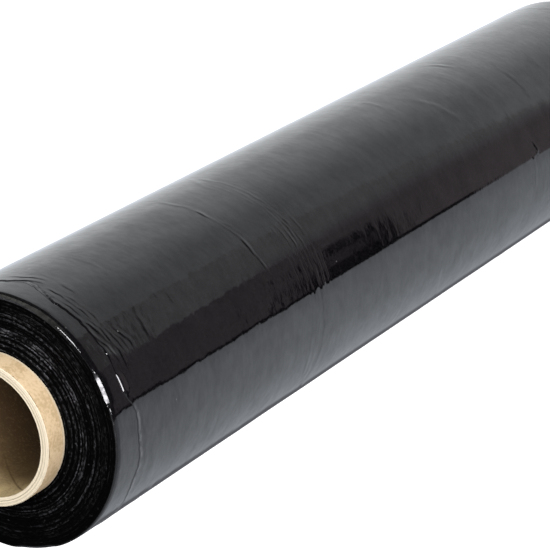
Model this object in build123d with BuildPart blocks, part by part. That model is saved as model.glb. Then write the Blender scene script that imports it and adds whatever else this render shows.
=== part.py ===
"""Roll of black stretch wrap on a wound cardboard core, standing on one end of the core.

Millimetres. The origin is the centre of the core's bore at its lower end, and +Z runs
up the bore. Two pieces: the core tube, and the film, whose turns are one solid.
"""
import os
from math import cos, radians, sin

from build123d import *

os.makedirs("parts", exist_ok=True)

# Core tube
core_bore_dia = 51.4
core_wall = 3.7
core_overhang = 12.0
core_edge_bevel = 0.5

# Film
film_width = 500.0
film_dia = 104.0
rim_round = 1.3

# End faces: the turns lie in bands, and the ones next to the core stand a little proud
turn_band_pitch = 2.4
turn_band_relief = 0.45
core_turns_rise = 1.5
core_turns_reach = 9.0

# Outer wraps: narrower than the turns below them, with an edge that runs askew
wrap_step = 0.35
wrap_setback = 13.5
wrap_skew = 3.0
wrap_skew_angle = 100.0

# Free end of the film, a straight edge along the roll
tail_step = 0.3
tail_angle = 98.0
tail_fade = 76.0

# Sizes that follow
core_outer_r = core_bore_dia / 2 + core_wall
core_length = film_width + 2 * core_overhang
film_r = film_dia / 2
film_bottom = core_overhang
film_top = film_bottom + film_width
inner_turns_r = film_r - wrap_step


def end_face_points(face_z, outwards):
    """Zigzag of the turn bands from the core to the rim, at one end of the film.

    A crest lies at each whole pitch and a valley halfway between two crests. Crests
    reach face_z, and next to the core they rise past it along a straight slope.
    """
    rim_start = inner_turns_r - rim_round
    half_pitches = int((rim_start - core_outer_r) / (turn_band_pitch / 2))
    points = []
    for index in range(half_pitches):
        r = core_outer_r + index * turn_band_pitch / 2
        nearness = max(0.0, 1 - (r - core_outer_r) / core_turns_reach)
        relief = turn_band_relief * (index % 2)
        points.append((r, face_z + outwards * (core_turns_rise * nearness - relief)))
    points.append((rim_start, face_z))
    return points


# The core: a plain tube, with the edges of its cut ends a little worn off
with BuildPart() as core:
    with BuildSketch(Plane.XY):
        Circle(core_outer_r)
        Circle(core_bore_dia / 2, mode=Mode.SUBTRACT)
    extrude(amount=core_length)
    chamfer(core.edges().filter_by(GeomType.CIRCLE), length=core_edge_bevel)
core.part.label = "core"
export_step(core.part, "parts/core.step")

# The outer wraps: a sleeve whose outline steps down at the film's free end and swells
# back to full radius over the fade, cut off askew at both of its ends. The swelling arc
# is off centre, so that it touches the full circle where the fade ends
fade_offset = tail_step / (1 - cos(radians(tail_fade)))
fade_angle = radians(tail_angle + tail_fade)
fade_centre = (fade_offset * cos(fade_angle), fade_offset * sin(fade_angle))
skew_tilt = wrap_skew / film_r
skew_direction = radians(wrap_skew_angle)
skew_normal = Vector(-skew_tilt * cos(skew_direction), -skew_tilt * sin(skew_direction), 1)
upper_edge = Plane(origin=(0, 0, film_top - wrap_setback), z_dir=skew_normal)
lower_edge = Plane(origin=(0, 0, film_bottom + wrap_setback), z_dir=skew_normal)

with BuildPart() as outer_wraps:
    with BuildSketch(Plane.XY.offset(film_bottom)):
        with BuildLine():
            full_radius = CenterArc((0, 0), film_r, tail_angle + tail_fade, 360 - tail_fade)
            swelling = CenterArc(fade_centre, film_r - fade_offset, tail_angle, tail_fade)
            Line(full_radius @ 1, swelling @ 0)
        make_face()
        Circle((core_outer_r + inner_turns_r) / 2, mode=Mode.SUBTRACT)
    extrude(amount=film_width)
    split(bisect_by=upper_edge, keep=Keep.BOTTOM)
    split(bisect_by=lower_edge, keep=Keep.TOP)

# The film: the inner turns, a revolved section with banded end faces and rounded rims,
# and the outer wraps seated on them
with BuildPart() as film_roll:
    with BuildSketch(Plane.XZ):
        with BuildLine():
            lower_turns = Polyline(*end_face_points(film_bottom, -1))
            upper_turns = Polyline(*end_face_points(film_top, 1))
            lower_rim = (inner_turns_r, film_bottom + rim_round)
            upper_rim = (inner_turns_r, film_top - rim_round)
            RadiusArc(lower_turns @ 1, lower_rim, -rim_round)
            Line(lower_rim, upper_rim)
            RadiusArc(upper_rim, upper_turns @ 1, -rim_round)
            Line(lower_turns @ 0, upper_turns @ 0)
        make_face()
    revolve(axis=Axis.Z)
    add(outer_wraps.part)
film_roll.part.label = "film_roll"
export_step(film_roll.part, "parts/film_roll.step")

print("core volume mm3", round(core.part.volume), "film volume mm3", round(film_roll.part.volume))
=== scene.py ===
# %% [markdown]
# # A roll of black stretch wrap
# Stretch wrap is a web of glossy film, wound tight on a cardboard core. Nearly all that
# the eye reads on it is reflection: broad bands along the roll, kinked wherever the
# film is creased. So this lesson makes smooth surfaces with very small relief, and a
# studio for them to mirror. First comes the frame: the roll's two solids at their real
# size, which say where everything goes.

# %% Load the frame
from math import cos, pi, radians, sin

import bpy
import numpy as np
from mathutils import Matrix, Vector


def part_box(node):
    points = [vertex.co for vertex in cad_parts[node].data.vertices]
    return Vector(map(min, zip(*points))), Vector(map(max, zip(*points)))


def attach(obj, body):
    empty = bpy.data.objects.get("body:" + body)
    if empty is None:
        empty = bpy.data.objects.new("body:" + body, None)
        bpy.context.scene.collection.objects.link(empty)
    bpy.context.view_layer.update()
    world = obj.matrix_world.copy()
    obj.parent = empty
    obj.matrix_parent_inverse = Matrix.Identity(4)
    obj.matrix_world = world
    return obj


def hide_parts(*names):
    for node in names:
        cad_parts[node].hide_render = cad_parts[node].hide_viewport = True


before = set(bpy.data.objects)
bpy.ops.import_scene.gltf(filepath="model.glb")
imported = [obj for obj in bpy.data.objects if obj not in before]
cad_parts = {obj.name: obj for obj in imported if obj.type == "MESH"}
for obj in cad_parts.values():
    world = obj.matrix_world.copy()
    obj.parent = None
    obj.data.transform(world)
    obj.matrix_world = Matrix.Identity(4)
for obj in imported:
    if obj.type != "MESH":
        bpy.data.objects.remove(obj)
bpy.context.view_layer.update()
MM = 0.001

film_low, film_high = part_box("film_roll")
core_low, core_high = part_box("core")
print("film", [round(v / MM, 1) for v in (*film_low, *film_high)])
print("core", [round(v / MM, 1) for v in (*core_low, *core_high)])

# %% [markdown]
# The main sizes come from those boxes. The film's own box is a little longer than the
# film is wide, because the turns next to the core stand proud. So the end faces are
# placed at the rim's height instead, which is the core's overhang in from its ends.

# %% Main sizes
FILM_R = round(film_high.x / MM, 1)
CORE_R = round(core_high.x / MM, 1)
CORE_TOP = round(core_high.z / MM, 1)
CORE_WALL = 3.7
OVERHANG = 12.0
FILM_LOW = OVERHANG
FILM_TOP = CORE_TOP - OVERHANG
# How far the outer wraps stand over the turns below them
STEP = 0.35
TURNS_R = FILM_R - STEP
print("film radius", FILM_R, "from", FILM_LOW, "to", FILM_TOP, "core radius", CORE_R)

# %% [markdown]
# ## Ring surfaces
# Every piece here is a ring: a closed outline carried once round the axis. Turning a
# profile with a Screw modifier would do for a perfect ring. These rings are a little
# different at every angle, so radius and height are arrays instead, with a row for
# each point of the outline and a column for each angle. The pictured half of the roll
# gets more columns than the half behind it.

# %% Ring mesh
def angles(seen, hidden):
    """Angles round the roll, in radians: seen of them on the pictured half, then hidden."""
    pictured = np.linspace(-pi, 0, seen, endpoint=False)
    return np.concatenate([pictured, np.linspace(0, pi, hidden, endpoint=False)])[None, :]


def new_object(name, data):
    """Object that shows data, linked into the scene."""
    made = bpy.data.objects.new(name, data)
    bpy.context.scene.collection.objects.link(made)
    return made


def ring_piece(name, turn, radius, height, face_slot):
    """Closed ring: x = radius cos(angle), y = radius sin(angle), z = height, in mm.

    The outline runs up the outside, in over the top, down the inside and out again
    below, so that the faces point outwards. face_slot gives each row's material.
    """
    rows, columns = radius.shape
    points = np.stack([radius * np.cos(turn), radius * np.sin(turn), height], axis=-1)
    row, column = np.meshgrid(np.arange(rows), np.arange(columns), indexing="ij")
    next_row, next_column = (row + 1) % rows, (column + 1) % columns
    corners = [(row, column), (row, next_column), (next_row, next_column), (next_row, column)]
    faces = np.stack([r * columns + c for r, c in corners], axis=-1).reshape(-1, 4)
    mesh = bpy.data.meshes.new(name)
    mesh.from_pydata((points.reshape(-1, 3) * MM).tolist(), [], faces.tolist())
    mesh.polygons.foreach_set("use_smooth", np.ones(len(faces), bool))
    mesh.polygons.foreach_set("material_index", np.repeat(face_slot, columns))
    mesh.update()
    print(name, "triangles", 2 * len(faces), "radius", radius.min().round(2), radius.max().round(2))
    return new_object(name, mesh)


def bump_up(x, centre, width):
    """Bell of height 1 round centre: exp(-((x - centre) / width) squared)."""
    return np.exp(-(((x - centre) / width) ** 2))


def smooth_step(x, low, high):
    """0 below low, 1 above high, and 3t^2 - 2t^3 between them."""
    t = np.clip((x - low) / (high - low), 0, 1)
    return t * t * (3 - 2 * t)


def angle_window(turn, start, end, fade):
    """1 between two angles in degrees, eased over fade degrees to both sides of each."""
    middle, half = radians((start + end) / 2), radians(abs(end - start) / 2)
    away = np.abs((turn - middle + pi) % (2 * pi) - pi)
    return 1 - smooth_step(away, half - radians(fade), half + radians(fade))


# %% [markdown]
# ## Where the outer wraps end
# The last few wraps of film are a little narrower than the turns below them, so each
# end of the roll has an edge 9 to 17 mm in, which wanders as the roll goes round.
# Its line is a table of set-backs by angle. Straight stretches between the entries give
# it the small kinks that pulled film has.

# %% Set-back of the outer wraps
SETBACK = 15.0
FAR_TURN = 140.0
# Pairs of angle in degrees and set-back in mm, once round the roll
EDGE_LINE = (
    -170, 16.8, -165, 16.2, -160, 15.6, -155, 14.5, -150, 13.6, -145, 14.0, -140, 14.8,
    -135, 14.5, -130, 13.8, -125, 13.0, -120, 13.5, -115, 13.2, -110, 12.0, -107, 10.9,
    -105, 10.1, -100, 10.0, -96, 9.9, -93, 10.0, -90, 10.5, -86, 10.7, -82, 10.3, -78, 9.9,
    -74, 9.8, -70, 9.8, -65, 9.6, -60, 9.6, -56, 9.7, -53, 9.8, -48, 11.5, -44, 12.9,
    -40, 14.0, -37, 14.3, -34, 13.3, -31, 12.4, -27, 11.6, -22, 11.4, -10, 12.0,
    0, 13.0, 15, 15.0, 30, 14.0, 45, 12.0, 60, 11.0, 75, 13.0, 90, 15.0, 110, 17.0,
    130, 16.0, 150, 14.5, 165, 15.0, 180, 16.0,
)


def by_angle(turn, around, values):
    """Straight lines between values given at angles in degrees, closed round the roll."""
    return np.interp(np.degrees(turn), around, values, period=360)


def setback(turn):
    """Set-back of the wraps' edge at an angle, in mm."""
    return by_angle(turn, EDGE_LINE[0::2], EDGE_LINE[1::2])


print("set-back", [round(float(setback(radians(a))), 1) for a in (-150, -75, 0, 90)])

# %% [markdown]
# ## Relief of the film
# Stretched film lies almost true on the roll. Three things disturb it, all of them far
# under a millimetre: slow waves, from air and tension; creases that run round the roll
# where the web has gathered; and fine wrinkles beside the outer edge. The heights are
# sums of waves and of narrow ridges, and a mirror-like finish shows every one.

# %% Waves and creases
WAVE_COUNT = 26
rng = np.random.default_rng(7)


def waves(turn, z, length_range, around_range, height):
    """Sum of WAVE_COUNT cosines with random lengths along the roll, in mm.

    Each is cos(2 pi z / length + number angle + phase), with a height in proportion
    to its length, so that long and short waves are equally steep.
    """
    total = np.zeros(np.broadcast(turn, z).shape)
    for _ in range(WAVE_COUNT):
        length = np.exp(rng.uniform(*np.log(length_range)))
        number = rng.integers(*around_range)
        total += length * np.cos(2 * pi * z / length + number * turn + rng.uniform(0, 2 * pi))
    return total * height / (length_range[1] * WAVE_COUNT ** 0.5)


# Each crease: steepness, half width in mm, then its line as pairs of angle in degrees
# and height in mm. A negative steepness makes a trough.
CREASES = (
    # The long crease above the middle
    (0.20, 0.65, (-91, 389.0, -86, 389.6, -80, 390.2, -72, 390.7)),
    (0.13, 0.65, (-73, 390.2, -65, 391.6, -60, 392.6, -50, 393.2)),
    (0.13, 0.80, (-53, 393.2, -46, 393.0, -42, 393.6, -39, 394.8, -34, 394.0)),
    (0.09, 0.80, (-72, 387.6, -66, 388.6, -60, 391.0)),
    (0.06, 0.90, (-34, 395.0, -27, 392.6, -22, 391.4)),
    # The gather of wrinkles below it
    (0.06, 0.45, (-109, 363.6, -96, 363.8, -84, 362.9)),
    (0.14, 0.45, (-92, 363.4, -84, 362.9, -66, 362.6, -48, 362.8)),
    (0.15, 0.50, (-101, 361.0, -94, 360.8, -80, 360.4, -64, 360.8)),
    (0.13, 0.55, (-118, 359.0, -104, 358.0, -84, 358.2, -66, 359.2, -42, 360.2, -30, 360.0)),
    (0.07, 0.45, (-110, 356.6, -98, 356.4, -82, 356.2)),
    (0.10, 0.55, (-112, 355.0, -100, 354.2, -84, 353.8, -67, 353.6)),
    (0.08, 0.50, (-97, 370.0, -88, 369.9, -76, 369.6)),
    (0.12, 0.50, (-106, 366.6, -96, 366.2, -86, 366.0, -74, 366.4)),
    (0.10, 0.50, (-104, 372.6, -96, 373.0, -86, 372.8)),
    (0.08, 0.50, (-72, 357.4, -58, 357.0, -44, 357.4)),
    (0.07, 0.55, (-60, 365.0, -46, 366.0, -36, 365.4)),
    (0.07, 0.55, (-111, 350.8, -102, 351.0, -92, 350.2)),
    (-0.09, 1.30, (-172, 354.0, -163, 359.4, -155, 361.2, -145, 361.4, -130, 361.0, -112, 359.6)),
    (0.09, 0.90, (-150, 357.6, -138, 358.0, -126, 357.6, -116, 358.0, -107, 355.6)),
    (0.10, 0.80, (-152, 367.0, -140, 368.4, -126, 368.0, -112, 366.2)),
    (0.07, 0.80, (-140, 364.6, -124, 364.4, -110, 363.2)),
    (0.10, 1.00, (-38, 369.0, -29, 365.0, -24, 360.6, -19, 357.4)),
    (0.07, 0.90, (-36, 362.0, -27, 359.0, -20, 354.0)),
    # Faint ridges lower down
    (0.006, 1.80, (-109, 329.0, -103, 328.6, -96, 329.6)),
    (0.007, 1.60, (-107, 316.0, -101, 317.4, -96, 318.0)),
    (0.012, 1.60, (-109, 306.0, -103, 306.4, -96, 307.0)),
    (0.012, 1.50, (-109, 298.4, -104, 298.0, -99, 298.8)),
    (0.014, 1.50, (-109, 290.4, -104, 290.8, -99, 291.0)),
    # Short creases near the head, then along the rest of the pictured side
    (0.22, 0.65, (-91, 474.2, -85, 474.2, -79, 473.2, -75, 471.0)),
    (0.12, 0.60, (-57, 476.0, -51, 472.6)),
    (0.06, 0.80, (-56, 466.6, -44, 466.0, -34, 466.8)),
    (0.05, 0.80, (-50, 470.4, -40, 469.4, -30, 469.0)),
    (0.16, 0.70, (-127, 153.2, -111, 153.0, -109, 147.4, -102, 151.0)),
    (0.14, 1.10, (-42, 154.0, -36, 155.6, -28, 158.2)),
    (0.08, 1.00, (-38, 137.6, -24, 136.6)),
    (0.12, 0.90, (-82, 132.0, -72, 131.4, -60, 132.6)),
    (0.12, 1.10, (-161, 240.0, -153, 244.6, -146, 248.4, -138, 251.0)),
    (0.08, 1.20, (-47, 229.0, -40, 228.4, -34, 228.2)),
    (0.06, 1.30, (-73, 198.0, -60, 202.6, -52, 207.6, -45, 212.0)),
    # The fan that runs into the wraps' edge at the head
    (0.24, 0.60, (-92, 496.6, -87, 497.6, -84, 498.6, -81.5, 499.8, -78, 501.0, -75, 501.4)),
    (0.24, 0.60, (-78, 497.4, -73, 498.6, -71, 500.0, -68, 500.8)),
    (0.16, 0.60, (-97, 494.0, -90, 493.4, -87, 494.2, -83, 494.8)),
    (0.15, 0.55, (-84, 494.8, -76, 495.4, -66, 495.6, -58, 496.0, -48, 495.6)),
    (0.14, 0.45, (-88, 495.6, -80, 496.8, -72, 496.6, -64, 497.2)),
    (0.20, 0.55, (-91, 485.4, -87, 485.6, -84, 486.8, -80, 488.8)),
    (0.12, 0.50, (-91, 490.4, -85, 491.6, -79, 493.0)),
    (0.10, 0.50, (-90, 488.2, -85, 489.2, -80, 491.0)),
    (0.11, 0.60, (-74, 492.8, -64, 493.4, -54, 494.4)),
    (0.15, 0.50, (-70, 498.0, -58, 498.8, -50, 498.4)),
    (0.08, 0.55, (-55, 499.4, -51, 500.0, -49, 498.6, -46, 499.2, -43, 497.6, -40, 497.2)),
    (0.08, 0.50, (-50, 496.6, -46, 497.4, -43, 495.8, -39, 495.6)),
    (0.14, 0.90, (-44, 493.2, -40, 494.2, -37, 495.2, -34, 496.4, -30, 498.6, -26, 499.0)),
    (0.12, 0.90, (-45, 490.4, -38, 491.4, -33, 493.0, -27, 494.2)),
    (0.07, 0.80, (-60, 489.6, -48, 488.4, -38, 486.8)),
    (0.05, 0.90, (-160, 492.4, -146, 491.4, -132, 492.6, -118, 494.4)),
    # The hidden side
    (0.20, 0.90, (18, 361.0, 40, 358.6, 66, 359.8, 88, 357.0)),
    (0.14, 0.70, (34, 353.8, 58, 353.0, 80, 353.6)),
    (0.16, 0.80, (120, 391.0, 150, 389.2, 176, 391.6)),
    (0.14, 0.80, (130, 152.0, 160, 154.6, 190, 153.0)),
    (0.14, 0.90, (20, 248.6, 52, 246.4, 74, 248.0)),
    (0.12, 0.80, (150, 473.4, 176, 475.0, 196, 472.6)),
)
print("creases", len(CREASES), "steepest", max(steepness for steepness, _, _ in CREASES))

# %% [markdown]
# A crease's section is a ridge with a shallow trough on both sides. A bell curve gives
# it a soft crest, and its steepest slope is what decides what it mirrors, so creases
# are listed by steepness and not by height.

# %% Ridges along lines
CREASE_FADE = 3.5
FAR_WIDER = 1.7
BELL_SLOPE = 0.86
TROUGH_SHARE, TROUGH_WIDER = 0.3, 2.4


def ridge(away, steepness, width):
    """Ridge with a trough beside it: a bell less a bell TROUGH_WIDER times as wide.

    A bell's slope is at most BELL_SLOPE times its height over its width, which gives the
    height. Where away is negative the ridge is FAR_WIDER times as wide, so less steep.
    """
    width = np.where(away > 0, width, FAR_WIDER * width)
    height = steepness * width.min() / BELL_SLOPE
    trough = TROUGH_SHARE * bump_up(away, 0, TROUGH_WIDER * width)
    return height * (bump_up(away, 0, width) - trough)


def line_at(turn, line):
    """A line's value at each angle, straight between its pairs, and 1 where it shows.

    It fades over CREASE_FADE degrees to both sides of each of its ends.
    """
    around, value = np.array(line[0::2], float), np.array(line[1::2], float)
    middle = (around[0] + around[-1]) / 2
    degrees = (np.degrees(turn) - middle + 180) % 360 - 180 + middle
    shown = angle_window(turn, around[0], around[-1], CREASE_FADE)
    return np.interp(degrees, around, value), shown


def creases(turn, z):
    """Sum of the ridges along the creases' lines.

    Each line wavers by up to 0.35 mm, and each ridge is uneven along it.
    """
    total = np.zeros(np.broadcast(turn, z).shape)
    for steepness, width, line in CREASES:
        phase = rng.uniform(0, 2 * pi, 3)
        centre, shown = line_at(turn, line)
        centre = centre + 0.22 * np.sin(31 * turn + phase[0]) + 0.13 * np.sin(67 * turn + phase[1])
        uneven = 0.78 + 0.22 * np.sin(23 * turn + phase[2])
        total += uneven * shown * ridge(z - centre, steepness, width)
    return total


# %% [markdown]
# ## Outer wraps
# The sleeve's rows sit close together only where there is something to show, which
# keeps the piece light: near both edges and across the creases. Each stretch of the
# roll has its own row spacing, and the rows near an edge follow the edge's wander.

# %% Rows along the sleeve
SEEN_COLUMNS, HIDDEN_COLUMNS = 194, 78
EDGE_FOLLOW = 26.0
# Each stretch: where it ends, in mm above the core's foot, and its row spacing
STRETCHES = (
    (36, 0.6), (50, 2.3), (128, 6.0), (144, 1.4), (160, 0.72), (195, 5.8), (215, 1.6), (224, 3.0),
    (233, 1.2), (238, 2.5), (253, 1.0), (288, 5.0), (346, 1.5), (374, 0.41), (384, 2.0),
    (398, 0.45), (463, 5.0), (478, 0.72), (495.8, 0.33), (497, 0.11),
)


def stretch_rows(start, stretches):
    """Row heights from start upwards, evenly spaced within each stretch."""
    rows = []
    for end, spacing in stretches:
        count = max(1, round((end - start) / spacing))
        rows.extend(np.linspace(start, end, count, endpoint=False))
        start = end
    return np.array(rows + [start])


rows_z = stretch_rows(FILM_LOW + SETBACK, STRETCHES)
print("rows along the sleeve", len(rows_z))

# %% [markdown]
# The edge itself isn't a clean cut. The film rises from it over a millimetre or so and
# eases back behind, a little everywhere and a good deal where a corner has curled up:
# there it catches the strip light. Beside it, on the hidden side, run a few fine
# wrinkles.

# %% Beside the wraps' edge
# Angle, lift, rise, fall and drop: how high the film stands up beside its edge, over what
# distance it gets there, over what distance it eases back, and how far it steps down to
# the turns below, in mm
EDGE_FORM = np.array((
    (-170, 0.03, 1.3, 2.0, 0.09), (-112, 0.03, 1.3, 2.0, 0.09), (-109, 0.03, 0.5, 2.0, 0.18),
    (-107, 0.05, 0.5, 4.0, 0.20), (-103.4, 0.34, 0.5, 4.5, 0.20), (-98, 0.34, 0.5, 4.5, 0.20),
    (-94.5, 0.05, 0.5, 4.0, 0.14), (-91.5, 0.05, 0.5, 4.0, 0.12), (-89, 0.30, 0.5, 4.5, 0.20),
    (-86, 0.30, 0.5, 4.5, 0.20),
    (-84, 0.05, 0.6, 2.0, 0.12), (-79, 0.06, 0.9, 2.0, 0.14), (-72, 0.08, 1.4, 2.0, 0.20),
    (-60, 0.07, 1.2, 2.0, 0.20), (-55, 0.02, 1.6, 2.0, 0.13), (-50, 0.0, 2.8, 2.0, 0.07),
    (-26, 0.0, 2.6, 2.4, 0.08), (0, 0.10, 0.6, 2.0, 0.20), (58, 0.10, 0.6, 2.0, 0.20),
    (62, 0.34, 0.5, 5.0, 0.20), (72, 0.34, 0.5, 5.0, 0.20), (76, 0.10, 0.6, 2.0, 0.20),
    (180, 0.12, 0.6, 2.0, 0.16),
)).T
# Each wrinkle beside an edge: steepness, half width, and its line as pairs of angle in
# degrees and distance in from the edge
EDGE_WRINKLES = (
    (0.18, 0.60, (40, 3.2, 62, 2.8, 90, 3.4, 118, 3.0)),
    (0.14, 0.60, (10, 5.6, 44, 5.2, 84, 6.0)),
    (0.12, 0.60, (128, 3.0, 150, 3.8, 174, 3.2)),
)


def edge_wrinkles(turn, from_edge):
    """Ridges that run beside the edge, at the distances that their lines give."""
    total = np.zeros(np.broadcast(turn, from_edge).shape)
    for steepness, width, line in EDGE_WRINKLES:
        phase = rng.uniform(0, 2 * pi, 2)
        centre, shown = line_at(turn, line)
        centre = centre + 0.14 * np.sin(37 * turn + phase[0])
        uneven = 0.75 + 0.25 * np.sin(29 * turn + phase[1])
        total += uneven * shown * ridge(from_edge - centre, steepness, width)
    return total


def edge_form(turn, from_edge):
    """Height beside the edge: lift up(rise) (1 - up(rise to rise + fall)) - drop (1 - up(rise)).

    Each up is a smooth step of the distance from the edge.
    """
    lift, rise, fall, drop = (by_angle(turn, EDGE_FORM[0], column) for column in EDGE_FORM[1:])
    up = smooth_step(from_edge, -0.1, rise)
    back = smooth_step(from_edge, rise, rise + fall)
    return lift * (0.93 + 0.07 * np.sin(41 * turn)) * up * (1 - back) - drop * (1 - up)


print("edge lifted by up to", EDGE_FORM[1].max(), "mm, wrinkles beside it", len(EDGE_WRINKLES))

# %% [markdown]
# The free end of the film is a straight edge along the roll, on the hidden side. Just
# past it the roll is a step lower, and it swells back slowly as it goes round.

# %% Free end
TAIL_STEP, TAIL_ANGLE, TAIL_FADE = 0.3, 98.0, 76.0


def tail(turn):
    """Drop in radius just past the film's free end, easing back round the roll.

    TAIL_STEP (1 - fade) where fade goes from 0 at the free end to 1 after TAIL_FADE.
    """
    past = np.degrees((turn - radians(TAIL_ANGLE)) % (2 * pi))
    return TAIL_STEP * (1 - smooth_step(past, 0, TAIL_FADE)) * (past < TAIL_FADE)


print("free end at", TAIL_ANGLE, "degrees, drop there", tail(radians(TAIL_ANGLE + 1)).round(3))

# %% [markdown]
# Now the sleeve can be laid out as a grid. Its rows first follow the two edges, and then
# the waves, creases and edges are added to the film's radius. The cut edge is a little
# ragged, except at its curled corner.

# %% Sleeve surface
wrap_angle = angles(SEEN_COLUMNS, HIDDEN_COLUMNS)
rag = sum(0.10 * np.sin(n * wrap_angle + n * n) for n in (17, 29, 44, 71, 97))
rag = rag * (1 - 0.9 * angle_window(wrap_angle, -107, -94, 2.0))
far_angle = wrap_angle + radians(FAR_TURN)
top_edge = FILM_TOP - setback(wrap_angle) + rag
low_edge = FILM_LOW + setback(far_angle) + rag
near_top = smooth_step(rows_z, FILM_TOP - SETBACK - EDGE_FOLLOW, FILM_TOP - SETBACK)[:, None]
near_low = 1 - smooth_step(rows_z, FILM_LOW + SETBACK, FILM_LOW + SETBACK + EDGE_FOLLOW)[:, None]
sleeve_z = rows_z[:, None] + near_top * (top_edge - (FILM_TOP - SETBACK))
sleeve_z = sleeve_z + near_low * (low_edge - (FILM_LOW + SETBACK))
from_top, from_low = top_edge - sleeve_z, sleeve_z - low_edge

LOW_WRINKLES_TURN = 2.2
relief = waves(wrap_angle, sleeve_z, (24.0, 110.0), (-3, 4), 0.045)
relief += creases(wrap_angle, sleeve_z)
relief += edge_wrinkles(wrap_angle, from_top)
relief += edge_wrinkles(wrap_angle + LOW_WRINKLES_TURN, from_low)
relief += edge_form(wrap_angle, from_top) + edge_form(far_angle, from_low)
sleeve_r = FILM_R + relief - tail(wrap_angle)
print("relief from", relief.min().round(2), "to", relief.max().round(2))

# %% [markdown]
# The piece is closed on the inside by two rows sunk a little into the turns below, so
# that no gap can show under the lifted edge. Each point also stores its distance in
# from the nearer edge. The film's material reads it, and so can follow the edge.

# %% Outer wraps
SEAT = 0.6
WRAPS_DEPTH = 1.2
under_r = TURNS_R - WRAPS_DEPTH + 0 * wrap_angle
wraps_r = np.concatenate([sleeve_r, under_r, under_r])
wraps_z = np.concatenate([sleeve_z, top_edge - SEAT, low_edge + SEAT])
outer_wraps = ring_piece("outer_wraps", wrap_angle, wraps_r, wraps_z, np.zeros(len(wraps_r), int))

no_distance = np.zeros((2, from_top.shape[1]))
distances = np.concatenate([np.minimum(from_top, from_low), no_distance])
distance_layer = outer_wraps.data.attributes.new("edge_distance", "FLOAT", "POINT")
distance_layer.data.foreach_set("value", distances.ravel())

# %% [markdown]
# ## Inner turns
# What shows of the turns below is the band outside the wraps' edge, the rounded rim and
# the two end faces. An end face is the cut edges of over a thousand turns. They lie in
# uneven rings, some proud and some sunk, none of them complete, so the height there is
# a sum of narrow rings, each fading in and out as it goes round.

# %% End face rings
RING_COUNT = 90
RIM_REACH = 1.3
CORE_RISE, CORE_REACH = 1.5, 9.0


def end_rings(turn, r, count):
    """Sum of count rings: height exp(-((r - place) / width)^2) times a patchy strength.

    The strength is the positive part of a sum of three harmonics of the angle.
    """
    total = np.zeros(np.broadcast(turn, r).shape)
    for _ in range(count):
        place = rng.uniform(CORE_R, TURNS_R - RIM_REACH)
        width = rng.uniform(0.22, 0.55)
        height = rng.uniform(-0.11, 0.16)
        strength = sum(
            np.cos(n * turn + rng.uniform(0, 2 * pi)) / n ** 0.5 for n in rng.integers(1, 9, 3)
        )
        wander = 0.25 * np.sin(2 * turn + rng.uniform(0, 2 * pi))
        total += height * np.clip(0.35 + strength, 0, 1.3) * bump_up(r, place + wander, width)
    return total


def core_rise(r):
    """Height of the turns next to the core: CORE_RISE at the core, easing out over CORE_REACH.

    It is the falling half of a smooth step that is centred on the core.
    """
    return CORE_RISE * (1 - smooth_step(r, CORE_R - CORE_REACH, CORE_R + CORE_REACH)) * 2


print("rise at the core", core_rise(CORE_R), "and at the rim", core_rise(TURNS_R))

# %% [markdown]
# The rim between the band and the end face was rolled over when the roll was handled.
# It is round along most of its length and pressed flat in a few stretches, and the flat
# stretches are what shows the strip light as a wide glint. Its width is a table by
# angle, like the wraps' edge.

# %% Rim and end outline
BAND_SLOPE = 0.004
BAND_STEP = 0.65
# Rows of the band, by distance in from the end face
band_z = np.array([28.0, 20.0, 14.0, 10.0, 7.0, 4.5, 2.6])[:, None]
rim_angle = np.linspace(0, pi / 2, 8)[1:-1, None]
# Where the rim is pressed flat, by how much, and over how many degrees that fades
RIM_FLAT = ((-106, -93), (38, 71), (150, 168))
RIM_PRESSED, RIM_FADE = 0.92, 1.8
# Pairs of angle in degrees and width of the rim in mm
RIM_WIDTH = (
    -170, 0.9, -113, 0.9, -107.5, 1.0, -106, 1.75, -93, 1.75, -91.5, 1.1, -87, 1.1, -80, 1.6,
    -70, 2.0, -56, 2.0,
    -48, 1.4, -20, 1.3, 20, 1.0, 34, 1.0, 38, 1.75, 71, 1.75, 75, 1.0, 104, 1.6, 128, 1.6,
    146, 1.0, 150, 1.75, 168, 1.75, 173, 0.9,
)
# Small steps in radius from the band to the rim and from the rim to the face, and how far
# in from there the rings reach their full height
RIM_IN, FACE_IN, RINGS_EASE = 0.03, 0.15, 1.2
FACE_ROWS = 84
face_share = np.linspace(0, 1, FACE_ROWS)[:, None]
# The turns reach a little into the core, so that no gap shows
CORE_OVERLAP = 0.1


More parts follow.
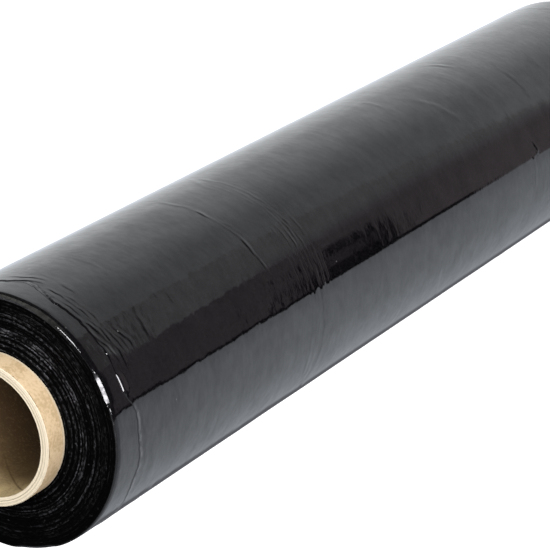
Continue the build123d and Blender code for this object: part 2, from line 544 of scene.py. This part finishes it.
def end_outline(turn, flip):
    """Radius and distance in from the face, from the band over the rim to the core.

    The band lies BAND_STEP of the wraps' drop below them, and narrows by BAND_SLOPE
    times the way to the rim. A quarter circle turns the corner: size (1 - cos) in and
    size (1 - sin) down, or straight where it is flat. The face has the rings and the
    rise. flip turns the band's step, in degrees.
    """
    step = BAND_STEP * by_angle(turn + radians(flip), EDGE_FORM[0], EDGE_FORM[4])
    narrow = BAND_SLOPE * np.clip(17 - band_z, 0, None) + step - STEP
    ripple = 0.02 * np.sin(3 * turn + radians(flip)) * np.ones_like(band_z)
    band_r = TURNS_R - narrow + ripple
    flat = RIM_PRESSED * sum(angle_window(turn, start, end, RIM_FADE) for start, end in RIM_FLAT)
    share = rim_angle / (pi / 2)
    size = by_angle(turn, RIM_WIDTH[0::2], RIM_WIDTH[1::2])
    rim_r = band_r[-1:] - RIM_IN - size * ((1 - flat) * (1 - np.cos(rim_angle)) + flat * share)
    rim_in = size * ((1 - flat) * (1 - np.sin(rim_angle)) + flat * (1 - share))
    face_start = band_r[-1:] - RIM_IN - size - FACE_IN
    face_r = face_start + face_share * (CORE_R - CORE_OVERLAP - face_start)
    edge_out = smooth_step(face_r, face_start, face_start - RINGS_EASE)
    face = end_rings(turn, face_r, RING_COUNT) * edge_out + core_rise(face_r)
    radius = np.concatenate([band_r, rim_r, face_r])
    inwards = np.concatenate([band_z + 0 * turn, rim_in, -face])
    return radius, inwards


# %% [markdown]
# Both ends get that outline, the lower one upside down and turned round. Between them
# the wraps hide the turns, so one straight wall joins the two bands. The face rows take
# the second material, because cut edges don't shine as the film's face does.

# %% Inner turns
inner_angle = angles(200, 100)
top_r, top_in = end_outline(inner_angle, 0.0)
low_r, low_in = end_outline(inner_angle, FAR_TURN)
turns_r = np.concatenate([low_r[::-1], top_r])
turns_z = np.concatenate([FILM_LOW + low_in[::-1], FILM_TOP - top_in])
band_rows = len(band_z) + len(rim_angle)
slot_of_row = np.r_[np.ones(FACE_ROWS - 1), np.zeros(2 * band_rows), np.ones(FACE_ROWS + 1)]
inner_turns = ring_piece("inner_turns", inner_angle, turns_r, turns_z, slot_of_row.astype(int))

# %% [markdown]
# ## Core
# The core is strips of board glued in a spiral, so it has a spiral seam inside and out,
# and cut ends where the plies show as rings. A plain tube with a bump would look right
# from a step away. Here the seams' grooves and the plies are in the mesh, because the
# camera is close to the cut end. The rows are close together at both ends, where the
# plies stand a little proud or sunk, and wider between them.

# %% Seams and plies
SEAM_PITCH = 140.0
SEAM_DEPTH, SEAM_WIDTH = 0.10, 0.7
# Angle in radians by which each seam is turned
OUTER_SEAM, BORE_SEAM = 0.6, 1.384
# Each line between plies: its place as a share of the wall from the bore, and its depth
PLY_LINES = ((0.22, 0.10), (0.45, 0.16), (0.62, 0.07), (0.80, 0.12))
PLY_WIDTH = 0.035
EDGE_WORN, WORN_WIDTH = 0.45, 0.06


def seam(turn, z, start):
    """Groove along a helix, turned by start: a bell across the nearest seam."""
    climb = SEAM_PITCH * (turn + start) / (2 * pi)
    away = (z - climb + SEAM_PITCH / 2) % SEAM_PITCH - SEAM_PITCH / 2
    return SEAM_DEPTH * bump_up(away, 0, SEAM_WIDTH)


def cut_end(share):
    """Depth of the cut end below its highest ply, by share of the wall from the bore."""
    lines = [depth * bump_up(share, place, PLY_WIDTH) for place, depth in PLY_LINES]
    worn = EDGE_WORN * (bump_up(share, 0, WORN_WIDTH) + bump_up(share, 1, WORN_WIDTH))
    return sum(lines) + worn


print("depth of the cut end from bore to outside", cut_end(np.array([0, 0.5, 1])).round(2))

# %% Core tube
core_angle = angles(140, 100)
close_rows = np.linspace(0.5, 14, 24)
open_rows = np.linspace(20, CORE_TOP - 20, 60)
wall_z = np.concatenate([close_rows, open_rows, CORE_TOP - close_rows[::-1]])
share = np.linspace(1, 0, 40)[:, None]
ragged = 0.04 * np.sin(23 * core_angle) * np.sin(7 * core_angle + 1)
end_in = 0.05 + cut_end(share) + ragged
end_r = CORE_R - CORE_WALL * (1 - share) + 0 * core_angle
outer_r = CORE_R - seam(core_angle, wall_z[:, None], OUTER_SEAM)
inner_r = CORE_R - CORE_WALL + seam(core_angle, wall_z[::-1, None], BORE_SEAM)
core_r = np.concatenate([outer_r, end_r, inner_r, end_r[::-1]])
wall_grid = wall_z[:, None] + 0 * core_angle
core_z = np.concatenate([wall_grid, CORE_TOP - end_in, wall_grid[::-1], end_in[::-1]])
core_tube = ring_piece("core_tube", core_angle, core_r, core_z, np.zeros(len(core_r), int))

# %% [markdown]
# ## Shader maths
# Materials are built from nodes, but an expression reads better than a list of links.
# A Field wraps one socket, and each operator on it adds the Math node that does the
# same. The Board adds every other kind of node: type, settings, then inputs.

# %% Field and Board
class Board:
    """A node tree that is written as Python."""

    def __init__(self, tree):
        self.tree = tree
        tree.nodes.clear()

    def add(self, kind, settings=(), inputs=()):
        """New node: settings are its own properties, inputs its sockets' values or links."""
        node = self.tree.nodes.new(kind)
        for name, value in dict(settings).items():
            setattr(node, name, value)
        for name, value in dict(inputs).items():
            self.feed(node.inputs[name], value)
        return node

    def feed(self, socket, value):
        """Link a Field to a socket, or set the socket's own value."""
        if isinstance(value, Field):
            self.tree.links.new(value.socket, socket)
        else:
            socket.default_value = value

    def field(self, kind, output, settings=(), inputs=()):
        """One output of a new node, as a Field."""
        return Field(self, self.add(kind, settings, inputs).outputs[output])

    def maths(self, operation, *values):
        """A Math node's result."""
        return self.field("ShaderNodeMath", 0, {"operation": operation}, enumerate(values))

    def blend(self, factor, first, second):
        """Colour that goes from first to second as factor goes from 0 to 1."""
        values = {"Factor": factor, "A": first, "B": second}
        node = self.add("ShaderNodeMix", {"data_type": "RGBA"})
        for socket in [s for s in node.inputs if s.enabled]:
            self.feed(socket, values[socket.name])
        return Field(self, next(s for s in node.outputs if s.enabled))

    def noise(self, place, scale, stretch=(1, 1, 1), detail=2.0, distortion=0.0):
        """Noise from about 0 to 1: scale features per mm, times stretch along each axis."""
        multiply = {"operation": "MULTIPLY"}
        vector = self.field("ShaderNodeVectorMath", 0, multiply, {0: place, 1: stretch})
        inputs = {"Vector": vector, "Scale": scale / MM, "Detail": detail, "Distortion": distortion}
        return self.field("ShaderNodeTexNoise", "Fac", {}, inputs)

    def noise_1d(self, value, scale, detail):
        """Noise of one number alone, scale in features per unit of it."""
        inputs = {"W": value, "Scale": scale, "Detail": detail}
        return self.field("ShaderNodeTexNoise", "Fac", {"noise_dimensions": "1D"}, inputs)


class Field:
    """A socket that Python operators can work on."""

    def __init__(self, board, socket):
        self.board = board
        self.socket = socket

    def __add__(self, other):
        return self.board.maths("ADD", self, other)

    def __sub__(self, other):
        return self.board.maths("SUBTRACT", self, other)

    def __rsub__(self, other):
        return self.board.maths("SUBTRACT", other, self)

    def __mul__(self, other):
        return self.board.maths("MULTIPLY", self, other)

    def __truediv__(self, other):
        return self.board.maths("DIVIDE", self, other)

    __radd__ = __add__
    __rmul__ = __mul__

    def between(self, low, high):
        """Smooth step: 0 at low, 1 at high. low may be the larger, for a fall."""
        settings = {"interpolation_type": "SMOOTHSTEP"}
        inputs = {"Value": self, "From Min": low, "From Max": high}
        return self.board.field("ShaderNodeMapRange", 0, settings, inputs)

    def band(self, start, full, ease, end):
        """Mask that rises from start to full, and falls again from ease to end."""
        return self.between(start, full) * self.between(end, ease)

    def clipped(self, low, high):
        """The value, held between low and high."""
        return self.board.maths("MAXIMUM", self.board.maths("MINIMUM", self, high), low)


def colour(red, green, blue):
    """Colour with full alpha, from linear parts."""
    return (red, green, blue, 1.0)


def grey(value):
    """Grey of one linear value."""
    return colour(value, value, value)


# %% [markdown]
# Object coordinates are metres in the roll's own frame, so a pattern keeps its real
# size. Round a roll the distance from the axis is handy too.

# %% Places on the roll
def new_material(name):
    """Material, its empty board, object coordinates, then x, y, z and radius in mm."""
    material = bpy.data.materials.new(name)
    material.use_nodes = True
    board = Board(material.node_tree)
    place = board.field("ShaderNodeTexCoord", "Object")
    parts = board.add("ShaderNodeSeparateXYZ", {}, {0: place})
    x, y, z = (Field(board, s) * (1 / MM) for s in parts.outputs)
    return material, board, place, x, y, z, board.maths("SQRT", x * x + y * y)


def finish_material(board, height, distance, **surface):
    """Principled surface with a bump: distance is what a height of 1 stands for, in mm."""
    inputs = {name.replace("_", " "): value for name, value in surface.items()}
    bump = {"Height": height, "Distance": distance * MM, "Strength": 1.0}
    inputs["Normal"] = board.field("ShaderNodeBump", "Normal", {}, bump)
    shader = board.field("ShaderNodeBsdfPrincipled", "BSDF", {}, inputs)
    board.add("ShaderNodeOutputMaterial", {}, {"Surface": shader})
    print("nodes in this material", len(board.tree.nodes))


# %% [markdown]
# ## Film
# Black film is nearly black by itself, with a mirror-like face, so most of its look is
# relief. The mesh has the creases, and a bump adds what it is too coarse for: ripples
# round the roll, a livelier pull towards the head, and dents in the rolled-over rim.

# %% Film relief
FILM_BUMP = 0.018

black_film, board, place, x, y, z, radius = new_material("black_film")
from_end = board.maths("MINIMUM", z - FILM_LOW, FILM_TOP - z)
around = board.maths("ARCTAN2", y, x) * (180 / pi)

ripple = board.noise(place, 0.16, (0.22, 0.22, 1.0), 3.0)
fine = board.noise(place, 0.75, (0.5, 0.5, 1.0))
gathered = z.band(344, 352, 362, 369)
lively = z.between(370, 402) * 0.85 + gathered * 0.22 + 0.15
pulled = board.noise(place, 0.11) * lively
dents = (board.noise(place, 0.60, detail=1.0) - 0.5) * from_end.between(2.4, 1.0)
film_relief = ripple * 1.4 + fine * 0.75 + pulled * 8.0 + dents * 3.5

# %% [markdown]
# The pull of the film leaves streaks, scuffs and blotches in its shine. Roughness would
# blur what is mirrored, so a clear coat of changing weight shows them instead. Only the
# rim's wide glint is made patchy by roughness.

# %% Film shine
SHINE = 0.36

streak = board.noise(place, 0.30, (0.16, 0.16, 1.0), 3.0, 0.6).between(0.34, 0.66)
scuff = board.noise(place, 0.80, (0.35, 0.35, 1.0)).between(0.36, 0.64)
blotch = board.noise(place, 0.10, detail=3.0).between(0.32, 0.68)
shine = (streak * 0.26 + scuff * 0.36 + blotch * 0.38) * SHINE

patch = board.noise(place, 0.02, (1.0, 1.0, 1.6))
on_rim = radius.between(TURNS_R + 0.05, TURNS_R - 0.12) * from_end.between(1.7, 1.2)
patchy = board.noise(place, 0.55).between(0.42, 0.62)
film_roughness = 0.03 + patch.between(0.3, 0.8) * 0.02
film_roughness = film_roughness + on_rim * patchy * around.between(-86, -92) * 0.30

# %% [markdown]
# Below the shine is a faint haze with pale specks of dust. On the side that faces the light the rim
# is painted greyer: painted light on the turns' edges that show there.

# %% Film colour
FILM_TINT, FILM_HAZE = colour(0.0012, 0.0010, 0.0013), colour(0.0052, 0.0048, 0.0056)
RIM_PAINTED_LIGHT = colour(0.042, 0.042, 0.038)
# Cells per mm, then how far a speck reaches and where it is solid, as shares of a cell
SPECK_CELLS, SPECK_REACH, SPECK_SOLID = 0.085, 0.055, 0.03
SPECK_GREY = grey(0.10)

grain = board.noise(place, 0.7, detail=3.0)
film_colour = board.blend(patch * 0.4 + grain.between(0.3, 0.7) * 0.6, FILM_TINT, FILM_HAZE)

# About two cells in five hold a speck
cells = board.add("ShaderNodeTexVoronoi", {}, {"Vector": place, "Scale": SPECK_CELLS / MM})
speck = Field(board, cells.outputs["Distance"]).between(SPECK_REACH, SPECK_SOLID)
cell_colour = Field(board, cells.outputs["Color"])
chosen = board.field("ShaderNodeSeparateColor", 0, {}, {0: cell_colour}).between(0.55, 0.6)
film_colour = board.blend(speck * chosen, film_colour, SPECK_GREY)

# Painted light: the rim is painted grey only on the side that faces the light
rim_lit = (x * 0.81 - y * 0.59).between(38, 54) * (0.55 + 0.45 * grain.between(0.35, 0.65))
film_colour = board.blend(on_rim * rim_lit, film_colour, RIM_PAINTED_LIGHT)

# %% [markdown]
# A pale line is painted beside the film's edge as a painted highlight, some 2 mm in on the low side
# and 1 mm in higher up. The distance that the mesh stores places it.

# %% Painted highlight line and film finish
EDGE_HIGHLIGHT = colour(0.130, 0.135, 0.142)

edge_distance = board.field("ShaderNodeAttribute", "Fac", {"attribute_name": "edge_distance"})
low_side = (around.between(-109, -116) + around.between(150, 170)).clipped(0, 1)
line_below = edge_distance.band(1.0, 1.7, 2.3, 3.2) * low_side
high_side = around.band(-58, -50, -40, -32)
line_above = edge_distance.band(0.0, 0.8, 1.2, 2.4) * high_side
highlight_breakup = board.noise(place, 0.22, detail=3.0).between(0.36, 0.62)
# Painted highlight: the pale line beside the edge, broken up by noise
film_colour = board.blend((line_below * 0.38 + line_above) * highlight_breakup, film_colour, EDGE_HIGHLIGHT)
finish_material(
    board, film_relief, FILM_BUMP, Base_Color=film_colour, Roughness=film_roughness, IOR=1.5,
    Coat_Weight=shine, Coat_Roughness=0.04,
)

# %% [markdown]
# ## End faces
# The cut edges of the turns trap light, so the end faces are darker and duller than
# the film's own face, but for thin rings and broken flecks. A wave texture would give
# rings at an even pitch, so they come from noise of the radius, and noise laid round
# the axis breaks them up.

# %% Noise round the axis
film_edges, board, place, x, y, z, radius = new_material("film_edges")
wander = board.noise(place, 0.03, detail=1.0)


def polar_noise(rings, round_count, detail):
    """Noise laid round the axis: rings features per mm outwards, round_count per radian."""
    turned = {0: radius * rings, 1: x / radius * round_count, 2: y / radius * round_count}
    polar = board.field("ShaderNodeCombineXYZ", 0, {}, turned)
    inputs = {"Vector": polar, "Scale": 1.0, "Detail": detail}
    return board.field("ShaderNodeTexNoise", "Fac", {}, inputs)


def ring_noise(rings, detail, shift):
    """Noise of the radius, which draws whole, slightly bent rings: features per mm."""
    return board.noise_1d(radius * rings + wander * 0.8 + shift, 1.0, detail)


rings = ring_noise(1.0, 3.0, 0.0).between(0.42, 0.66)
bands = ring_noise(0.30, 1.0, 40.0).between(0.36, 0.60)
arcs = polar_noise(0.30, 4.0, 2.0).between(0.42, 0.62)
dashes = polar_noise(1.5, 26.0, 2.0)
flecks = board.noise(place, 0.65)

# %% [markdown]
# The rings show most near the core, where the turns stand proud. On the side that faces the lamps
# they are painted paler as painted light, with painted glints on flecks, and a painted highlight
# runs along the rim there as well.

# %% End face colour
# EDGE_PALE is the rings' tone: partly their own paler edges, partly painted light
EDGE_BLACK, EDGE_PALE = grey(0.0009), colour(0.088, 0.089, 0.096)
EDGE_BUMP = 0.3

near_core = radius.between(TURNS_R - 3, CORE_R + 7) * 0.75 + 0.25
# Painted light: the end face is paler on the side that faces the lamps
facing = (x * 0.45 - y * 0.9 + 20.0).between(-30, 50) * 0.5 + 0.5
facing = facing * (0.62 + 0.38 * (x * 0.8 - y * 0.6).between(5, 38))
dashed = 0.12 + 1.1 * dashes.between(0.42, 0.64)
tone = rings * (0.25 + 0.75 * bands) * (0.2 + 0.8 * arcs) * dashed
# Painted glints on scattered flecks
painted_glints = flecks.between(0.62, 0.74) * dashes.between(0.46, 0.60)
# Painted highlight along the rim, on the lit side
rim_highlight = radius.between(TURNS_R - 1.8, TURNS_R - 1.4) * (x * 0.81 - y * 0.59).between(32, 54)
rim_highlight = rim_highlight * (0.45 + 0.55 * dashes.between(0.38, 0.58))
edge_tone = (tone + painted_glints * 0.8) * near_core * facing + rim_highlight * 0.45
finish_material(
    board, rings * 0.6 + flecks * 0.4, EDGE_BUMP, Roughness=0.45, IOR=1.5,
    Base_Color=board.blend(edge_tone, EDGE_BLACK, EDGE_PALE), Specular_IOR_Level=0.012,
)

# %% [markdown]
# ## Cardboard
# Three looks on one tube: the outside is plain kraft, the cut end is paler and shows its plies as
# thin grey rings, and the bore is brown board, painted darker inwards as shade. Three materials
# could do it. One is enough, with masks on the radius and the height to tell them apart.

# %% Outside of the board
KRAFT, KRAFT_DARK = colour(0.70, 0.53, 0.325), colour(0.54, 0.395, 0.220)
CUT_PALE, CUT_GREY = colour(0.66, 0.580, 0.435), colour(0.30, 0.26, 0.18)

wound_board, board, place, x, y, z, radius = new_material("wound_board")
from_end = board.maths("MINIMUM", z, CORE_TOP - z)
wall_share = (radius - (CORE_R - CORE_WALL)) * (1 / CORE_WALL)
fibre = board.noise(place, 0.9, detail=4.0)
mottle = board.noise(place, 0.16, (1.0, 1.0, 0.6), 4.0)
kraft = board.blend((fibre * 0.5 + mottle * 0.5).between(0.38, 0.58), KRAFT_DARK, KRAFT)
# Beside the film a pale band is painted on the side of the tube
pale_band = from_end.band(9.2, 9.9, 10.9, 11.4)
kraft = board.blend(pale_band * 0.6, kraft, CUT_PALE)

# %% [markdown]
# The bore's own board is the tan at its mouth. Deeper in it is painted darker, as painted shade
# added to its own shadow. The seam shows as a dark line, near the mouth only.

# %% Bore
# The board's own tan at its mouth, then painted shade a little way in and deep. The darkest also
# serves the fibre mottle and the seam.
BORE_MOUTH, BORE_TAN_AND_SHADE = colour(0.60, 0.47, 0.25), colour(0.17, 0.115, 0.050)
BORE_DARK_AND_SHADE = colour(0.075, 0.043, 0.018)

# Painted shade: the bore darkens inwards from its mouth
bore = board.blend(from_end.between(24, 2), BORE_TAN_AND_SHADE, BORE_MOUTH)
bore = board.blend(from_end.between(14, 48), bore, BORE_DARK_AND_SHADE)
bore = board.blend((fibre * 0.6 + mottle * 0.4).between(0.62, 0.36) * 0.45, bore, BORE_DARK_AND_SHADE)
bore = board.blend(fibre.between(0.52, 0.68) * 0.45, bore, BORE_TAN_AND_SHADE)
climb_to = (board.maths("ARCTAN2", y, x) + BORE_SEAM) * (SEAM_PITCH / (2 * pi))
seam_away = board.maths("WRAP", z - climb_to, SEAM_PITCH / 2, -SEAM_PITCH / 2)
bore_seam = seam_away.band(-0.8, -0.2, 0.2, 0.8) * from_end.between(34, 20)
bore = board.blend(bore_seam * 0.6, bore, BORE_DARK_AND_SHADE)

# %% [markdown]
# On the cut end two joints between plies show well, and fainter ones come from noise of
# the radius alone.

# %% Cut end and board finish
# Each joint: its place as a share of the wall from the bore, and its strength
PLY_JOINTS = ((0.36, 0.75), (0.66, 0.35))
JOINT_HALF = 0.09
BOARD_BUMP = 0.12

plies = sum(
    strength * wall_share.band(at - JOINT_HALF, at, at, at + JOINT_HALF)
    for at, strength in PLY_JOINTS
)
ply_wave = board.noise_1d(wall_share, 9.0, 2.0)
cut_tone = plies + (ply_wave * 0.8 + fibre * 0.2).between(0.50, 0.38) * 0.3
cut = board.blend(cut_tone, CUT_PALE, CUT_GREY)
walls = board.blend(wall_share.between(0.12, 0.03), kraft, bore)
board_colour = board.blend(from_end.between(0.75, 0.35), walls, cut)
finish_material(
    board, fibre + mottle * 0.3, BOARD_BUMP, Base_Color=board_colour, Roughness=0.85,
    Specular_IOR_Level=0.25,
)

# %% [markdown]
# ## Into the frame
# Each piece takes its materials, rides on the roll's only body and stands in for the
# plain solid of its part. Cut film edges come second on the inner turns, as their face
# rows expect.

# %% Dress the pieces
outer_wraps.data.materials.append(black_film)
inner_turns.data.materials.append(black_film)
inner_turns.data.materials.append(film_edges)
core_tube.data.materials.append(wound_board)
for piece, node, slot in (
    (outer_wraps, "film_roll", "film"),
    (inner_turns, "film_roll", "film"),
    (core_tube, "core", "cardboard"),
):
    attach(piece, "root")
    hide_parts(node)
    print(piece.name, "replaces", node)

# %% [markdown]
# ## Studio
# The roll is pictured lying down, though it stands here on its core: the camera is
# rolled over instead. What it mirrors is given as the picture has it, with a white
# table below, a dim room behind the camera and a pale wall above. Panels set round the
# roll could be mirrored too, but they would shade it. So the room is painted on the
# world, where only reflections see it. The camera sees plain white, and the floor keeps
# the roll's shadow.

# %% Directions in the studio
SKY = Vector((0.8101, -0.5863, 0.0))
ALONG = Vector((0.0, 0.0, 1.0))
SIDE = ALONG.cross(SKY)

world = bpy.data.worlds.new("studio")
bpy.context.scene.world = world
world.use_nodes = True
board = Board(world.node_tree)
look = board.field("ShaderNodeTexCoord", "Generated")


def part_along(direction):
    """How far the ray points along a direction, from -1 to 1."""
    dot = {"operation": "DOT_PRODUCT"}
    return board.field("ShaderNodeVectorMath", "Value", dot, {0: look, 1: direction})


sky, side, along = part_along(SKY), part_along(SIDE), part_along(ALONG)
climb = board.maths("ARCSINE", sky.clipped(-1, 1)) * (180 / pi)
bearing = board.maths("ARCTAN2", side, 0 - along) * (180 / pi)
print("sky", [round(v, 2) for v in SKY], "side", [round(v, 2) for v in SIDE])

# %% [markdown]
# Brightness is worked out from two angles: climb, the height above the table's
# horizon, and bearing, the angle round from the roll's far end. The wall above is
# palest low down and to the right, with a dark ceiling over it. It meets the room on
# the left in an edge that leans.

# %% Wall and its edge
HORIZON = -4.0
WALL_EDGE = -16.7
WALL_TINT = colour(0.965, 0.995, 1.02)

above = climb.between(HORIZON - 0.35, HORIZON + 0.35)
lean = (33.5 - climb).clipped(0, 17) * 0.42 + (climb - 33.5).clipped(0, 90) * 0.75
in_room = (bearing + lean).between(WALL_EDGE + 0.3, WALL_EDGE - 0.3)

wall_level = 0.545 + 0.33 * bearing.between(-8, 24) + 0.44 * climb.between(20, 0)
wall_level = wall_level * (1 + 0.24 * along.between(-0.853, -0.872))
wall_level = wall_level * (1 - 0.72 * climb.between(43, 56))
wall = board.blend(wall_level, grey(0.0), WALL_TINT)

# %% [markdown]
# The room on the left is mid grey high up and dark below, with a black line on the
# table's edge. The edge between the two greys is sharp far from the wall and soft
# beside it. The band of film outside the wraps' edge mirrors a dimmer part of the room.

# %% Room
DIM_TOP = 20.6
LOW_NEAR, LOW_FAR = colour(0.215, 0.186, 0.206), colour(0.292, 0.256, 0.274)
HIGH_FAR, HIGH_NEAR = colour(0.44, 0.44, 0.455), colour(0.29, 0.275, 0.28)

edge_blur = 0.4 + 4.6 * bearing.between(-31.5, -30.0)
dim_top = DIM_TOP - 4.0 * along.between(-0.838, -0.868)
smooth = {"interpolation_type": "SMOOTHSTEP"}
dim_edge = {"Value": climb, "From Min": dim_top - edge_blur, "From Max": dim_top + edge_blur}
upper_room = board.field("ShaderNodeMapRange", 0, smooth, dim_edge)
low_room = board.blend(along.between(-0.80, -0.875), LOW_NEAR, LOW_FAR)
high_room = board.blend(along.between(-0.7630, -0.7600), HIGH_FAR, HIGH_NEAR)
room = board.blend(upper_room, low_room, high_room)
table_line = climb.between(HORIZON + 2.2, HORIZON + 1.2) * bearing.between(-30.8, -31.6)

# %% [markdown]
# An open doorway in the room is black, with something paler standing inside it.

# %% Doorway
door_side = -0.8140 + 0.0045 * climb.between(9, 4)
doorway = along.band(-0.8370, -0.8325, door_side - 0.002, door_side)
doorway = doorway * (climb + (along + 0.8255).clipped(-1, 0) * -800).between(15.0, 12.5)
within = along.band(-0.8258, -0.8240, -0.8172, -0.8155)
within = within * climb.band(2.0, 4.0, 7.0, 9.6)
within = within * (1 - 0.7 * along.band(-0.8213, -0.8205, -0.8195, -0.8187))
blackness = board.maths("MAXIMUM", doorway * (1 - 0.75 * within), table_line)
room = board.blend(blackness, room, grey(0.0))

# %% [markdown]
# The table is palest near its far edge, where it lies behind the roll, and dark right
# under it. The camera's end of the room is dark too, and so is its far end low down.
# Only slopes that face those ways mirror them, which darkens one side of a crease.

# %% Table and dark end
TABLE_TINT = colour(0.945, 1.0, 1.075)
UNDER_ROLL = colour(0.150, 0.155, 0.172)
DARK_END = grey(0.02)

table_level = (0.635 - 0.0070 * bearing).clipped(0.46, 0.90)
table_level = table_level * (0.84 + 0.16 * climb.between(HORIZON, -12))
table_level = table_level * (1 - 0.11 * along.between(-0.81, -0.84))
behind = bearing.between(12, 24) * climb.between(-21.5, -20.0)
table_level = table_level + behind * (1.10 - table_level)
table = board.blend(table_level, grey(0.0), TABLE_TINT)
under_roll = climb.between(-20.5, -23.5) * (bearing + climb * 0.69).between(-10.5, -1.5)
table = board.blend(under_roll, table, UNDER_ROLL)
mirrored = board.blend(above, table, board.blend(in_room, wall, room))

near_end = along.between(-0.750, -0.66) * (0.35 + 0.6 * above)
far_end = along.between(-0.90, -0.94) * above * climb.between(18, 12) * 0.85
mirrored = board.blend(board.maths("MAXIMUM", near_end, far_end), mirrored, DARK_END)

# %% [markdown]
# What lights the roll is plainer: a soft sky, brightest overhead. Light Path tells the
# rays apart: reflections get the room, the camera gets white, all else the soft light.

# %% World
SOFT_LOW, SOFT_HIGH = grey(0.05), grey(0.66)


def ray_kinds(board):
    """Two Fields: 1 for rays from the camera, and 1 for reflected rays."""
    rays = board.add("ShaderNodeLightPath")
    return [Field(board, rays.outputs[name]) for name in ("Is Camera Ray", "Is Glossy Ray")]


is_camera, is_glossy = ray_kinds(board)
overhead = (sky * 0.8 + along * 0.6).between(-0.35, 0.85)
seen = board.blend(is_glossy, board.blend(overhead, SOFT_LOW, SOFT_HIGH), mirrored)
seen = board.blend(is_camera, seen, grey(1.0))
background = board.field("ShaderNodeBackground", 0, {}, {"Color": seen, "Strength": 1.0})
board.add("ShaderNodeOutputWorld", {}, {"Surface": background})
print("nodes in the world", len(board.tree.nodes))

# %% [markdown]
# Three soft lamps stand on the near side, beside the camera. The film's body never
# mirrors them from there, but the rounded rim and the lifted edges do. The strip light
# gives the wide glints, and a smaller one the thin glint higher up the rim. The top
# light only brightens the board, so reflections don't see it.

# %% Lamps
HEAD = Vector((0, 0, FILM_TOP * MM))
LAMP_AWAY = 1.6
# Each lamp: angle round the roll and above level, width, length, watts, tint, and
# whether reflections see it
LAMPS = (
    ("strip_light", -109, 42, 0.56, 0.64, 23.0, (0.98, 0.96, 1.0), True),
    ("small_strip", -51, 56, 0.27, 0.46, 8.0, (0.97, 0.97, 1.0), True),
    ("top_light", -52, 18, 0.80, 0.50, 6.5, (1.0, 1.0, 1.0), False),
)


def lamp(name, place, size, watts, tint, glossy):
    """Area light at place, facing the roll's head: its local Z points away from there."""
    light = bpy.data.lights.new(name, "AREA")
    light.shape = "RECTANGLE"
    light.size, light.size_y = size
    light.energy = watts
    light.color = tint
    holder = new_object(name, light)
    facing = (place - HEAD).to_track_quat("Z", "Y").to_matrix().to_4x4()
    holder.matrix_world = Matrix.Translation(place) @ facing
    holder.visible_camera = False
    holder.visible_glossy = glossy
    print(name, "stands at", [round(v, 2) for v in place], "with", watts, "watts")


for name, round_roll, up, width, length, watts, tint, glossy in LAMPS:
    a, h = radians(round_roll), radians(up)
    towards = Vector((cos(a) * cos(h), sin(a) * cos(h), sin(h)))
    lamp(name, HEAD + towards * LAMP_AWAY, (width, length), watts, tint, glossy)

# %% [markdown]
# The floor is a wide plane at the foot of the core. A plain diffuse one would look grey
# to the camera, so for camera rays a little glow is added to it, which leaves the
# shadow in place. To reflections it is clear, and they see the painted room.

# %% Floor
FLOOR_HALF = 12.0
FLOOR_WHITE, FLOOR_GLOW = 0.85, 0.62

floor_mesh = bpy.data.meshes.new("floor")
corners = [(-1, -1), (1, -1), (1, 1), (-1, 1)]
floor_points = [(x * FLOOR_HALF, y * FLOOR_HALF, 0.0) for x, y in corners]
floor_mesh.from_pydata(floor_points, [], [(0, 1, 2, 3)])
floor = new_object("floor", floor_mesh)

white_floor = bpy.data.materials.new("white_floor")
white_floor.use_nodes = True
board = Board(white_floor.node_tree)
is_camera, is_glossy = ray_kinds(board)
painted = board.field("ShaderNodeBsdfDiffuse", 0, {}, {"Color": grey(FLOOR_WHITE)})
glow = board.field("ShaderNodeEmission", 0, {}, {"Color": grey(1.0), "Strength": FLOOR_GLOW})
lifted = board.field("ShaderNodeAddShader", 0, {}, {0: painted, 1: glow})
clear = board.field("ShaderNodeBsdfTransparent", 0)
shown = board.field("ShaderNodeMixShader", 0, {}, {0: is_camera, 1: painted, 2: lifted})
shown = board.field("ShaderNodeMixShader", 0, {}, {0: is_glossy, 1: shown, 2: clear})
board.add("ShaderNodeOutputMaterial", {}, {"Surface": shown})
floor_mesh.materials.append(white_floor)
print("floor", 2 * FLOOR_HALF, "metres wide")

# %% [markdown]
# ## Camera
# A long lens from the roll's head end, looking down its length. The picture's frame is
# square, and the camera is rolled so that the standing roll lies across it.

# %% Camera
CAMERA_PLACE = Vector((0.0, -0.6688, 1.2257))
CAMERA_AIM = Vector((-0.0043, -0.0176, 0.3392))
CAMERA_ROLL = 120.6
LENS = 168.84

camera_data = bpy.data.cameras.new("camera")
camera_data.lens = LENS
camera = new_object("camera", camera_data)
level = (CAMERA_PLACE - CAMERA_AIM).to_track_quat("Z", "Y").to_matrix().to_4x4()
rolled = level @ Matrix.Rotation(-radians(CAMERA_ROLL), 4, "Z")
camera.matrix_world = Matrix.Translation(CAMERA_PLACE) @ rolled
bpy.context.scene.camera = camera
bpy.context.scene.view_settings.view_transform = "Standard"
print("camera", round((CAMERA_PLACE - CAMERA_AIM).length, 3), "metres from its aim")
